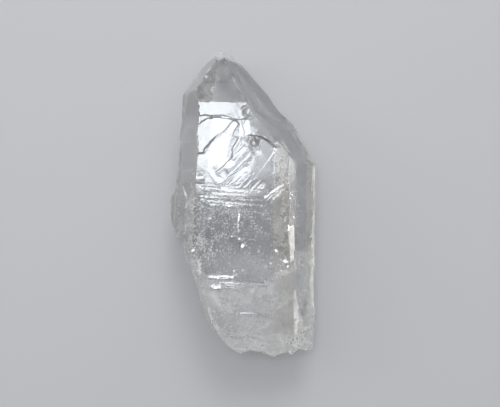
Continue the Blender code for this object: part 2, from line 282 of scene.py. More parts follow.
def mesh_pairs(surface):
    """Every edge as a sorted pair of points, and the faces on its two sides."""
    corners = surface.triangles
    pairs = np.sort(np.vstack([corners[:, [0, 1]], corners[:, [1, 2]], corners[:, [2, 0]]]), axis=1)
    owners = np.tile(surface.triangle_faces, 3)
    order = np.lexsort((pairs[:, 1], pairs[:, 0]))
    pairs = pairs[order].reshape(-1, 2, 2)
    return pairs[:, 0], owners[order].reshape(-1, 2)


SMOOTHING_ROUNDS = 5
RIM_ROUNDS = 6
TOOTH_ANGLE = 35.0


def relax(surface, pairs, chosen, rounds):
    """Moves the chosen points half-way to the mean of their neighbours, several times."""
    for _ in range(rounds):
        total = np.zeros_like(surface.points)
        count = np.zeros(len(surface.points))
        for a, b in (pairs.T, pairs.T[::-1]):
            np.add.at(total, a, surface.points[b])
            np.add.at(count, a, 1)
        mean = total[chosen] / np.maximum(count[chosen], 1)[:, None]
        surface.points[chosen] += 0.5 * (mean - surface.points[chosen])


def smooth_the_breaks(surface):
    """Rounds the steps of the CAD grid out of the broken surfaces and out of their rims."""
    pairs, sides = mesh_pairs(surface)
    kinds = surface.face_kinds[sides]
    on_rim = (kinds == "broken").sum(axis=1) == 1
    on_break = (kinds == "broken").all(axis=1)
    flat_side = np.where(kinds[:, 0] == "broken", sides[:, 1], sides[:, 0])
    rim_pairs = pairs[on_rim]
    seen = {}
    for (a, b), face in zip(rim_pairs, flat_side[on_rim]):
        seen.setdefault(a, []).append(face)
        seen.setdefault(b, []).append(face)
    crease = (sides[:, 0] != sides[:, 1]) & ~on_break & ~on_rim
    corners = set(pairs[crease].ravel())
    movable = np.array([p for p, faces in seen.items()
                        if len(faces) == 2 and faces[0] == faces[1] and p not in corners])
    relax(surface, rim_pairs, movable, RIM_ROUNDS)
    normals = surface.face_normals
    bend = (normals[sides[:, 0]] * normals[sides[:, 1]]).sum(axis=1)
    toothed = (bend < math.cos(math.radians(TOOTH_ANGLE))) & on_break
    kept = np.zeros(len(surface.points), bool)
    kept[pairs[toothed].ravel()] = True
    broken = np.flatnonzero((surface.kinds == "broken") & ~kept)
    relax(surface, pairs, broken, SMOOTHING_ROUNDS)


# Section: lines, steps and waves

# A line's wobble: how quickly it changes, and the shift between its two directions
WOBBLE_RATE = 0.9
WOBBLE_SHIFT = Vector((31.7, 12.9, 5.3))


def smooth_line(points, step=0.25, wobble=0.0, seed=0.0):
    """An even curve through given points, with a slight natural wobble."""
    points = np.array(points, float)
    ends = np.vstack([2 * points[0] - points[1], points, 2 * points[-1] - points[-2]])
    made = []
    for i in range(1, len(ends) - 2):
        p0, p1, p2, p3 = ends[i - 1:i + 3]
        count = max(2, int(math.hypot(*(p2 - p1)) / step))
        for t in np.linspace(0, 1, count, endpoint=False):
            made.append(0.5 * ((2 * p1) + (p2 - p0) * t + (2 * p0 - 5 * p1 + 4 * p2 - p3) * t * t
                               + (3 * p1 - p0 - 3 * p2 + p3) * t ** 3))
    made.append(points[-1])
    made = np.array(made)
    if wobble:
        for point in made:
            place = Vector((point[0] * WOBBLE_RATE, point[1] * WOBBLE_RATE, seed))
            point += wobble * np.array((noise.noise(place), noise.noise(place + WOBBLE_SHIFT)))
    return made


def traced(pixels, height=FRONT_HEIGHT, **wobble):
    """A smooth curve through places of the photograph, at this height."""
    return smooth_line([photo_point(column, row, height) for column, row in pixels], **wobble)


def ease(values, low, high):
    """A smooth rise from 0 at low to 1 at high."""
    t = np.clip((values - low) / (high - low), 0, 1)
    return t * t * (3 - 2 * t)


def taper(place, length, run):
    """Fades to nothing over a run at both ends of a line."""
    return ease(np.minimum(place, length - place), 0, run)


def scarp(points, line, drop, ramp, reach):
    """A step that is higher on the line's left and eases back to the plane on both sides."""
    signed, place, length = nearest_on_line(points, line)
    return drop * np.tanh(signed / ramp) * np.exp(-np.abs(signed) / reach) * taper(place, length, 1.0)


def furrow(points, line, depth, width):
    """A narrow valley along a line, or a ridge if the depth is negative."""
    signed, place, length = nearest_on_line(points, line)
    return -depth * np.exp(-(signed / width) ** 2) * taper(place, length, 0.8)


def ring_pit(points, centre, radius, depth, rim):
    """A round hollow with a low raised rim."""
    away = np.hypot(points[:, 0] - centre[0], points[:, 1] - centre[1]) / radius
    return -depth * np.exp(-(away * 1.5) ** 4) + rim * np.exp(-((away - 1.15) / 0.25) ** 2)


def soft_noise(points, scale, seed):
    """Smooth noise with humps about this far apart."""
    return np.array([noise.noise(Vector((p[0] / scale + seed, p[1] / scale, p[2] / scale - seed)))
                     for p in points])


def waves(points, layers):
    """The sum of layers of smooth noise, each with a height, a distance and a seed."""
    return sum(height * soft_noise(points, scale, seed) for height, scale, seed in layers)


def patches(points, scale, seed, gain, share):
    """Soft patches between 0 and 1; gain is how far they vary about this share."""
    return np.clip(gain * soft_noise(points, scale, seed) + share, 0, 1)


# Section: relief of the faces

# Growth steps on the front face, traced in the photograph's pixels: drop, ramp, reach, points
SCARPS = {
    "top_terrace": (0.034, 0.18, 1.8, (195, 116), (199.4, 115.5), (210.9, 115.6), (227, 115.8),
        (233.9, 118.6), (239.6, 119.4), (245.3, 118.6), (248.2, 115.8), (250.5, 111.7), (251.1, 106)),
    "top_terrace_lip": (0.03, 0.16, 1.2, (197, 127.5), (200.5, 122.5), (205, 119.2), (210.9, 118),
        (218.9, 117.5), (228.1, 119), (235, 120.6), (240, 122.5)),
    "left_terrace": (-0.05, 0.19, 2.2, (235.9, 119.3), (229.3, 124.9), (224.7, 130.7), (217.8, 135.3),
        (212.1, 141), (207.5, 145.6), (204, 148.5), (203.6, 152.3), (199.4, 153.1), (194.1, 153.6)),
    "left_terrace_inner": (0.03, 0.16, 1, (230, 127), (224, 133.5), (217, 138), (211.5, 144), (208, 148.5),
        (206.5, 152)),
    "left_ledge": (-0.024, 0.16, 0.7, (194.5, 177.6), (199, 177.4), (204.6, 177.8)),
    "left_ledge_low": (0.022, 0.16, 0.7, (194.5, 182.8), (199, 183), (204.6, 182.6)),
    "left_upright": (0.022, 0.15, 0.7, (204.6, 178), (204.4, 186), (204.8, 194), (204.6, 203)),
    "loop_left": (0.05, 0.15, 0.7, (236, 120), (239, 124), (236, 128), (233, 133), (235.5, 137.5),
        (240, 136.5)),
    "loop_right": (-0.05, 0.15, 0.7, (245.3, 119.5), (242.5, 126), (244.4, 132), (243, 137.6),
        (239, 139.5)),
    "middle_line": (0.06, 0.17, 1.1, (239.5, 136.6), (235, 143.3), (231.6, 147.9), (232.1, 153.6),
        (230.4, 160.5)),
    "right_terrace": (0.075, 0.18, 2.2, (243.2, 140.9), (247.6, 135.3), (256.8, 136.4), (262.6, 137.6),
        (268.3, 141), (278.5, 149)),
    "right_terrace_lip": (-0.04, 0.15, 0.9, (246.5, 138.4), (251, 138), (257.5, 139.2), (263.5, 141)),
    "long_slant": (-0.06, 0.16, 1.3, (257.8, 147), (252.2, 153.6), (248.8, 160.5), (244.2, 164),
        (238.5, 169.7), (231.6, 176.6), (224.7, 182.3), (216.6, 188.1)),
    "long_slant_pair": (0.045, 0.15, 0.9, (255.5, 149.5), (250, 157.5), (245.2, 161.6), (239.5, 167.2),
        (232.6, 173.9), (225.7, 179.6)),
    "upper_slant": (0.035, 0.22, 1.6, (247, 143.5), (239, 150.5), (231, 158.5), (222.5, 166.5),
        (214, 174.5)),
    "mid_slant": (-0.03, 0.25, 1.6, (252, 146.5), (243, 156.5), (235, 165.5), (226, 173.5)),
}

# The ring pit and its small neighbours: column, row, radius, depth, height of the rim
PITS = (
    (254, 142.6, 1.15, 0.3, 0.12), (247.5, 112.5, 1.3, 0.07, 0.04), (258.8, 143.8, 0.55, 0.09, 0.02),
    (237.4, 131, 0.6, 0.05, 0.02), (248, 161.5, 0.5, 0.07, 0.02), (250.5, 139.6, 0.45, 0.06, 0.02),
    (244.5, 145, 0.35, 0.05, 0.01), (266, 145.6, 0.3, 0.05, 0.01),
)

# Bright slanting furrows at the right: both ends in pixels, then their depth and width
BRIGHT_FURROWS = (
    ((263, 199.6), (283.6, 184.4)),
    ((265.6, 201.6), (280.4, 188.8)),
    ((271.4, 201.6), (284.8, 189)),
)
BRIGHT_FURROW_SIZES = (-0.028, 0.24)

# Ruled slanting furrows: where the first one and the last one start and end, in pixels
FIRST_SLANT = ((222, 187.5), (246.5, 162))
LAST_SLANT = ((257, 193), (267, 181.5))
SLANT_COUNT = 15
SLANT_SHIFT = 0.7
SLANT_CUT = 0.35
SLANT_DEPTH = (0.012, 0.042)
SLANT_WIDTH = (0.17, 0.26)

# Level furrows: rows between which they lie, columns where they start, their run and fall
LEVEL_BAND = (185, 203)
LEVEL_COUNT = 15
LEVEL_SHIFT = 0.5
LEVEL_START = (196, 222)
LEVEL_RUN = (18, 62)
LEVEL_FALL = 0.055
LEVEL_DEPTH = (0.008, 0.030)
LEVEL_WIDTH = (0.15, 0.26)

# Waves of the front face, the breaks and the side faces: height, distance between humps, seed
FRONT_WAVES = ((0.030, 7.0, 1.3), (0.010, 2.4, 8.1), (0.0035, 0.8, 4.4))
BREAK_WAVES = ((0.09, 3.4, 3.3), (0.030, 1.5, 9.1))
SIDE_WAVES = ((0.010, 5.0, 2.9),)

# Height of the side faces' growth sheets, and how much the front face's traced lines are raised
SHEET_HEIGHT = 0.020
RELIEF_GAIN = 1.45

# How far from a face's sides its relief reaches full height
FRONT_FADE = 0.5
SIDE_FADE = 1.2
BREAK_FADE = 0.8


def slants():
    """Both ends of each ruled furrow, in pixels."""
    first = np.array(FIRST_SLANT)
    last = np.array(LAST_SLANT)
    return [first + (last - first) * i / (SLANT_COUNT - 1) for i in range(SLANT_COUNT)]


def front_lines():
    """Every traced or ruled line of the front face, as (shape, sizes, curve)."""
    lines = []
    for i, (drop, ramp, reach, *pixels) in enumerate(SCARPS.values()):
        lines.append((scarp, (drop, ramp, reach), traced(pixels, wobble=0.22, seed=3.7 * i)))
    chance = random.Random(11)
    for i, (start, end) in enumerate(slants()):
        shift = np.array((chance.uniform(-SLANT_SHIFT, SLANT_SHIFT), 0))
        stop = end + (start - end) * chance.uniform(0, SLANT_CUT)
        curve = traced((start + shift, stop + shift), wobble=0.04, seed=i)
        depth = chance.uniform(*SLANT_DEPTH) * chance.choice((1, 1, -0.8))
        lines.append((furrow, (depth, chance.uniform(*SLANT_WIDTH)), curve))
    for start, end in BRIGHT_FURROWS:
        curve = traced((start, end), wobble=0.05, seed=start[0])
        lines.append((furrow, BRIGHT_FURROW_SIZES, curve))
    top, bottom = LEVEL_BAND
    for i in range(LEVEL_COUNT):
        row = top + (bottom - top) * i / (LEVEL_COUNT - 1)
        row += chance.uniform(-LEVEL_SHIFT, LEVEL_SHIFT)
        left_end = chance.uniform(*LEVEL_START)
        right_end = left_end + chance.uniform(*LEVEL_RUN)
        fall = (right_end - left_end) * LEVEL_FALL
        curve = traced(((left_end, row), (right_end, row + fall)), wobble=0.10, seed=i + 0.5)
        depth = chance.uniform(*LEVEL_DEPTH) * chance.choice((1, -1))
        lines.append((furrow, (depth, chance.uniform(*LEVEL_WIDTH)), curve))
    return lines


def raise_front_relief(surface):
    """The front face's growth steps, pits, furrows and faint waves."""
    chosen = np.flatnonzero(surface.kinds == "front")
    places = surface.points[chosen]
    flat = places[:, :2]
    height = waves(places, FRONT_WAVES)
    for shape, sizes, curve in front_lines():
        reach = sizes[-1] * 4 + 1.0
        near = ((flat > curve.min(0) - reach) & (flat < curve.max(0) + reach)).all(axis=1)
        height[near] += RELIEF_GAIN * shape(flat[near], curve, *sizes)
    for column, row, radius, depth, rim in PITS:
        height += ring_pit(flat, photo_point(column, row), radius, depth, rim)
    surface.points[chosen, 2] += height * np.clip(surface.margins[chosen] / FRONT_FADE, 0, 1)


def raise_face_relief(surface):
    """Faint growth sheets across the side faces and the faces of the point."""
    chosen = np.flatnonzero(surface.kinds == "grown")
    places = surface.points[chosen]
    stretched = places * np.array((0.12, 1.0, 0.12))
    sheets = SHEET_HEIGHT * np.tanh(4 * soft_noise(stretched, 2.1, 5.2)) + waves(places, SIDE_WAVES)
    fade = np.clip(surface.margins[chosen] / SIDE_FADE, 0, 1)
    surface.points[chosen] += surface.normals[chosen] * (sheets * fade)[:, None]


# Small polished steps that mirror the overhead light: half width, slope towards +Y, points
POLISHED_STEPS = {
    "arc_streak": (0.44, 0.19, (207.6, 275.8), (220, 276.3), (234.5, 277.2)),
    "arc_streak_end": (0.3, 0.19, (234, 277.2), (246, 278.6), (256, 280.2), (264.4, 281)),
    "arc_corner": (0.28, 0.19, (270, 279.6), (276.3, 277.5), (282, 276), (287, 271.6)),
    "second_streak": (0.32, 0.19, (220.5, 281), (236, 281.8), (252.4, 283.4), (267.5, 284.6)),
    "third_streak": (0.32, 0.19, (224.5, 286), (234, 286.4), (243.8, 286.8)),
    "blob": (0.6, 0.19, (210.5, 285), (216, 286.2), (222.5, 286)),
    "base_line": (0.32, 0.225, (239.5, 312.6), (248, 312.9), (257, 313.5), (271, 317)),
}
STEP_FIT = 2


def polished_curves():
    """Each polished step's half width, slope and curve."""
    for name, (half_width, slope, *pixels) in POLISHED_STEPS.items():
        yield half_width, slope, traced(pixels, BASE_HEIGHT, wobble=0.06, seed=len(name))


def band_share(places, curve, half_width):
    """How much each 2-D place belongs to a band, with its distance and run along it."""
    signed, along, length = nearest_on_line(places, curve)
    return np.exp(-(signed / half_width) ** 4) * taper(along, length, 0.4), signed, along


def lay_the_polished_steps(surface):
    """Levels narrow steps so that each mirrors the overhead light towards the camera."""
    chosen = np.flatnonzero(surface.normals[:, 2] > UPWARD)
    for half_width, slope, curve in polished_curves():
        places = surface.points[chosen]
        share, signed, along = band_share(places[:, :2], curve, half_width)
        middle = share > 0.5
        if middle.sum() < 4:
            continue
        fit = np.polyfit(along[middle], places[middle, 2], STEP_FIT)
        target = np.polyval(fit, along) - slope * signed
        surface.points[chosen, 2] += (target - places[:, 2]) * share


# Chips along the sharp edges: distance between them, seed, how rare they are, depth
CHIPS = ((0.9, 6.6, 0.12, 0.30), (3.1, 1.6, 0.30, 0.50))
CROWDED = 0.19
UNDERSIDE = 0.05


def search_tree(places):
    """A tree that finds the nearest of these places."""
    tree = KDTree(len(places))
    for i, place in enumerate(places):
        tree.insert(place, i)
    tree.balance()
    return tree


def wear_the_edges(surface):
    """Tiny chips along the sharp edges, but not on the underside or where points are crowded."""
    chosen = np.flatnonzero(surface.kinds == "edge")
    places = surface.points[chosen]
    bite = sum(np.clip(soft_noise(places, scale, seed) - rarity, 0, None) * depth
               for scale, seed, rarity, depth in CHIPS)
    others = search_tree(places)
    crowded = np.array([others.find_n(place, 2)[-1][2] < CROWDED for place in places])
    bite[crowded | (places[:, 2] < UNDERSIDE)] = 0
    surface.points[chosen] -= surface.normals[chosen] * bite[:, None]


# Ripples and ridges of the broken base, traced in pixels: height, ramp, reach, points
BASE_SCARPS = {
    "upper_arc": (0.16, 0.3, 1.6, (256, 300), (258.8, 297.1), (262.8, 294.7), (268, 294.6), (273.5, 296)),
    "long_arc": (0.14, 0.35, 1.8, (273.5, 313), (272.6, 317.5), (270, 321.8), (263.6, 326.6), (257, 330),
        (248, 332.5)),
    "short_slant": (-0.12, 0.3, 1.2, (275, 310), (280, 306.5), (286, 302.5)),
    "right_ridge": (-0.28, 0.8, 3, (293.5, 270), (292.5, 285), (291, 300), (290.7, 318), (291.2, 335),
        (292.5, 352)),
    "right_furrow": (0.14, 0.4, 1.6, (300, 318), (299.6, 330), (299, 345)),
    "right_curl": (0.16, 0.35, 1.4, (312.5, 316), (309.5, 322.5), (306.6, 328.2), (304.2, 334.6),
        (304, 341)),
    "right_curl_lip": (-0.12, 0.3, 1, (314, 322), (311.2, 328), (308.4, 334), (307, 340)),
    "left_flow": (0.14, 0.5, 2.2, (205, 292), (210.5, 303), (217, 313), (225, 324), (234, 334)),
    "left_flow_pair": (-0.12, 0.45, 1.8, (212, 290), (217.5, 300), (226, 311), (236, 321), (246, 328)),
    "low_arc": (0.12, 0.4, 2, (232, 340), (243, 337.5), (255, 339), (266, 343.5), (276, 345)),
}


def roughen_the_breaks(surface):
    """Traced ripples and fine waves over the broken surfaces."""
    chosen = np.flatnonzero(surface.kinds == "broken")
    places = surface.points[chosen]
    normals = surface.normals[chosen]
    rims = search_tree(surface.points[surface.kinds == "edge"])
    margin = np.array([rims.find(place)[2] for place in places])
    height = waves(places, BREAK_WAVES)
    upward = np.clip(normals[:, 2] * 2.5, 0, 1)
    for i, (drop, ramp, reach, *pixels) in enumerate(BASE_SCARPS.values()):
        curve = traced(pixels, BASE_HEIGHT, wobble=0.25, seed=5.1 * i)
        height += upward * scarp(places[:, :2], curve, drop, ramp, reach)
    surface.points[chosen] += normals * (height * np.clip(margin / BREAK_FADE, 0, 1))[:, None]


# The broken end's jagged outline, in pixels, how far above it the surface follows, and the runs
# over which the outline fades out at its left and right ends
TEETH = (
    (234, 351.4), (240.5, 354.1), (250, 350.9), (260.4, 351.7), (268, 355.2), (273.9, 357.3),
    (284.3, 352.9), (291.9, 355.3), (298.7, 348.9), (309.8, 351.3), (314, 350.6),
)
TEETH_FOLLOW = 16.0
TEETH_BIN = 1.5
TEETH_RUNS = (4, 3)


def cut_the_teeth(surface):
    """Draws the broken end out to its jagged outline."""
    columns, rows, scale = photo_pixels(surface.points)
    teeth = np.array(TEETH)
    first, last = teeth[0, 0], teeth[-1, 0]
    bins = np.arange(first, last, TEETH_BIN)
    edge = [rows[np.abs(columns - middle) < TEETH_BIN].max() for middle in bins]
    now = np.interp(columns, bins, edge)
    left = ease(columns, first, first + TEETH_RUNS[0])
    right = 1 - ease(columns, last - TEETH_RUNS[1], last)
    shift = (np.interp(columns, teeth[:, 0], teeth[:, 1]) - now) * np.minimum(left, right)
    surface.points[:, 1] -= shift * ease(rows, now - TEETH_FOLLOW, now) * scale


# Section: wear of each zone, kept as a colour: red is frost, green is milk, blue is warmth

# Wear of whole faces: their azimuth and lean, then frost, milk and warmth
FACE_WEAR = (
    (-60, 0.96, (0.25, 0.08, 0.35)),
    (120, 1.6, (0.48, 0.14, 0.75)),
    (170.5, 0.0, (0.50, 0.22, 0.80)),
    (60, 0.73, (0.05, 0.02, 0.0)),
    (-60, 38.2, (0.35, 0.13, 0.10)),
)
BREAK_WEAR = (0.46, 0.18, 0.15)
FACING_ANGLE = 1.2

# Frost and milk of each coat of wear
COATS = {
    "base": (0.46, 0.16), "tip": (0.6, 0.30), "haze": (0.30, 0.10), "smears": (0.45, 0.20),
    "rubbed": (0.5, 0.35)}

# Where the frost of the base begins and is full, towards -Y, and its share on the front face
BASE_FROST_ZONE = (10.5, 16.5)
BASE_FROST_ON_FRONT = 0.35
TIP_FROST_ZONE = (36.1, 37.1)

# The clear patch of the break through which the bluish crack shows, in pixels
WINDOW = ((303.6, 295), (304.2, 302.7), (301, 309), (296.6, 314))
WINDOW_HEIGHT = 13.0
WINDOW_HALF_WIDTH = 0.75
WINDOW_LOWEST = 8.0
WINDOW_CLEARNESS = 0.85


def facing(normals, azimuth, lean):
    """Which outward directions are those of a crystal face at this azimuth and lean."""
    turn = math.radians(azimuth)
    tilt = math.radians(lean)
    aim = np.array((math.sin(turn) * math.cos(tilt), math.sin(tilt), math.cos(turn) * math.cos(tilt)))
    return normals @ aim > math.cos(math.radians(FACING_ANGLE))


def face_wear(surface):
    """Frost, milk and warmth of every triangle's face."""
    wear = np.zeros((len(surface.face_normals), 3))
    wear[surface.face_kinds == "broken"] = BREAK_WEAR
    for azimuth, lean, values in FACE_WEAR:
        wear[facing(surface.face_normals, azimuth, lean)] = values
    return wear[surface.triangle_faces]


def paint_wear(item, surface):
    """Writes frost, milk and warmth to the corners of the mesh."""
    ids = surface.triangles.ravel()
    corners = surface.points[ids]
    kinds = surface.face_kinds[surface.triangle_faces].repeat(3)
    grown = kinds == "grown"
    left = (surface.face_normals[surface.triangle_faces, 0] < -0.3).repeat(3) * grown
    base = ease(-corners[:, 1], *BASE_FROST_ZONE)
    shares = {
        "base": base * np.where(kinds == "front", BASE_FROST_ON_FRONT, 1.0),
        "tip": ease(corners[:, 1], *TIP_FROST_ZONE),
        "haze": patches(corners, 4.0, 7.7, 0.9, 0.20) * grown,
        "smears": patches(corners * (1.0, 0.5, 1.0), 2.0, 4.9, 1.1, 0.10) * left,
        "rubbed": patches(corners, 1.7, 2.2, 0.9, 0.30) * (surface.kinds == "edge")[ids]}
    wear = np.repeat(face_wear(surface), 3, axis=0)
    for name, share in shares.items():
        wear[:, :2] = np.maximum(wear[:, :2], share[:, None] * COATS[name])
    polished = np.zeros(len(corners))
    for half_width, _, curve in polished_curves():
        polished = np.maximum(polished, band_share(corners[:, :2], curve, half_width)[0])
    polished *= surface.normals[ids, 2] > UPWARD
    window = band_share(corners[:, :2], traced(WINDOW, WINDOW_HEIGHT), WINDOW_HALF_WIDTH)[0]
    window *= corners[:, 2] > WINDOW_LOWEST
    wear *= (1 - np.maximum(polished, WINDOW_CLEARNESS * window))[:, None]
    layer = item.data.color_attributes.new("wear", "FLOAT_COLOR", "CORNER")
    layer.data.foreach_set("color", np.hstack([wear, np.ones((len(wear), 1))]).ravel())


# Section: materials

def connect(tree, made, inputs):
    """Sets a node's inputs, each to a number, a colour or another node's output."""
    for name, value in inputs.items():
        if isinstance(value, bpy.types.NodeSocket):
            tree.links.new(value, made.inputs[name])
        else:
            made.inputs[name].default_value = value


def node(tree, kind, inputs=None, **settings):
    """Adds one shader node."""
    made = tree.nodes.new(kind)
    for name, value in settings.items():
        setattr(made, name, value)
    connect(tree, made, inputs or {})
    return made


def math_node(tree, operation, *values, clamp=False):
    """The output of one arithmetic node."""
    made = node(tree, "ShaderNodeMath", dict(enumerate(values)), operation=operation, use_clamp=clamp)
    return made.outputs[0]


def smooth_range(tree, value, low, high, first, last):
    """An output that goes smoothly from first to last as the value goes from low to high."""
    inputs = {"Value": value, "From Min": low, "From Max": high, "To Min": first, "To Max": last}
    made = node(tree, "ShaderNodeMapRange", inputs, interpolation_type="SMOOTHSTEP")
    return made.outputs["Result"]


def noise_texture(tree, scale, detail=3.0, roughness=0.5):
    """Noise with cells of about 1 / scale metres, fixed to the object."""
    place = node(tree, "ShaderNodeTexCoord").outputs["Object"]
    made = node(tree, "ShaderNodeTexNoise",
                {"Vector": place, "Scale": scale, "Detail": detail, "Roughness": roughness})
    return made.outputs["Fac"]


def new_material(name):
    """A new material, as (material, tree, shader)."""
    material = bpy.data.materials.new(name)
    material.use_nodes = True
    tree = material.node_tree
    return material, tree, tree.nodes["Principled BSDF"]


QUARTZ_IOR = 1.55
QUARTZ_CLEAR = (0.97, 0.97, 0.975, 1.0)
QUARTZ_WARM = (0.93, 0.90, 0.82, 1.0)
QUARTZ_ABSORPTION = {"Color": (0.81, 0.81, 0.81, 1.0), "Density": 36.0}
LIQUID_IOR = 1.33


def quartz_material():
    """Clear quartz that turns frosted and milky where the wear colour says so."""
    material, tree, shader = new_material("quartz")
    wear = node(tree, "ShaderNodeAttribute", attribute_name="wear").outputs["Color"]
    parts = node(tree, "ShaderNodeSeparateColor", {"Color": wear}).outputs
    frost, milk, warmth = parts["Red"], parts["Green"], parts["Blue"]
    blotches = noise_texture(tree, 160.0, 4.0, 0.6)
    grains = noise_texture(tree, 1400.0, 4.0, 0.65)
    cloud = math_node(tree, "MULTIPLY_ADD", blotches, 1.1, 0.45)
    rough = math_node(tree, "MULTIPLY", math_node(tree, "MULTIPLY", frost, cloud), 0.52)
    film = math_node(tree, "MULTIPLY", math_node(tree, "SUBTRACT", grains, 0.5, clamp=True), 0.16)
    rough = math_node(tree, "ADD", rough, film, clamp=True)
    rough = math_node(tree, "ADD", rough, 0.012, clamp=True)
    opaque = math_node(tree, "MULTIPLY", milk, cloud, clamp=True)
    clear = math_node(tree, "SUBTRACT", 1.0, opaque, clamp=True)
    tint = node(tree, "ShaderNodeMix", {"Factor": warmth, 6: QUARTZ_CLEAR, 7: QUARTZ_WARM},
                data_type="RGBA").outputs[2]
    strength = math_node(tree, "MULTIPLY_ADD", frost, 0.8, 0.04)
    bump = node(tree, "ShaderNodeBump",
                {"Height": grains, "Distance": 0.00004, "Strength": strength}).outputs["Normal"]
    connect(tree, shader, {"IOR": QUARTZ_IOR, "Roughness": rough, "Transmission Weight": clear,
                           "Base Color": tint, "Normal": bump})
    volume = node(tree, "ShaderNodeVolumeAbsorption", QUARTZ_ABSORPTION).outputs["Volume"]
    connect(tree, tree.nodes["Material Output"], {"Volume": volume})
    return material


def inclusion_material(name, colour, metallic, roughness):
    """The skin of tiny liquid bubbles, healed cracks and dark specks, some painted shade: pale, dark, or
    mirror-like where they glint.
    """
    material, tree, shader = new_material(name)
    uneven = math_node(tree, "MULTIPLY", noise_texture(tree, 900.0), 0.2)
    rough = math_node(tree, "ADD", uneven, roughness - 0.1, clamp=True)
    connect(tree, shader, {"IOR": LIQUID_IOR, "Base Color": (*colour, 1.0), "Metallic": metallic,
                           "Roughness": rough})
    return material


# Section: veils and specks inside the crystal

# Clouds of specks: centre in pixels, height, spread across, along and in depth, number, largest
# size, skin
CLOUDS = {
    "upper_left": ((217, 205), 15, (5, 2.6, 1.8), 2600, 0.26, "white"),
    "middle": ((233, 219), 15, (5.5, 6, 2), 6500, 0.26, "white"),
    "middle_left": ((200, 219), 17, (1.8, 8, 1.4), 3600, 0.22, "bluish"),
    "left_low": ((207, 244), 14, (4, 4.5, 2), 2600, 0.24, "white"),
    "middle_right": ((261, 226), 14, (3.8, 6.5, 2.2), 3000, 0.22, "white"),
    "right_upper": ((280.5, 172), 18, (1.3, 6, 1), 7600, 0.26, "cream"),
    "right_zone": ((282, 222), 17, (1.7, 8.5, 1.2), 4600, 0.26, "cream"),
    "left_flank": ((186, 232), 10, (1.8, 6, 2), 1400, 0.22, "white"),
    "above_arc": ((242, 262), 15, (9, 3.4, 1.6), 2600, 0.18, "white"),
    "arc_corner": ((281, 268), 15, (1.8, 1.6, 1), 400, 0.22, "cream"),
    "base_left": ((224, 298), 14.5, (4, 5, 1.4), 2400, 0.26, "white"),
    "base_haze": ((230, 311), 15.5, (1.7, 1.1, 0.6), 500, 0.26, "white"),
    "base": ((252, 312), 12, (7, 5, 2.5), 2200, 0.24, "white"),
    "tip": ((214, 76), 9, (1.4, 2.4, 1.5), 300, 0.18, "white"),
    "right_face": ((276, 118), 8, (3.2, 4, 1.5), 220, 0.18, "cream"),
}

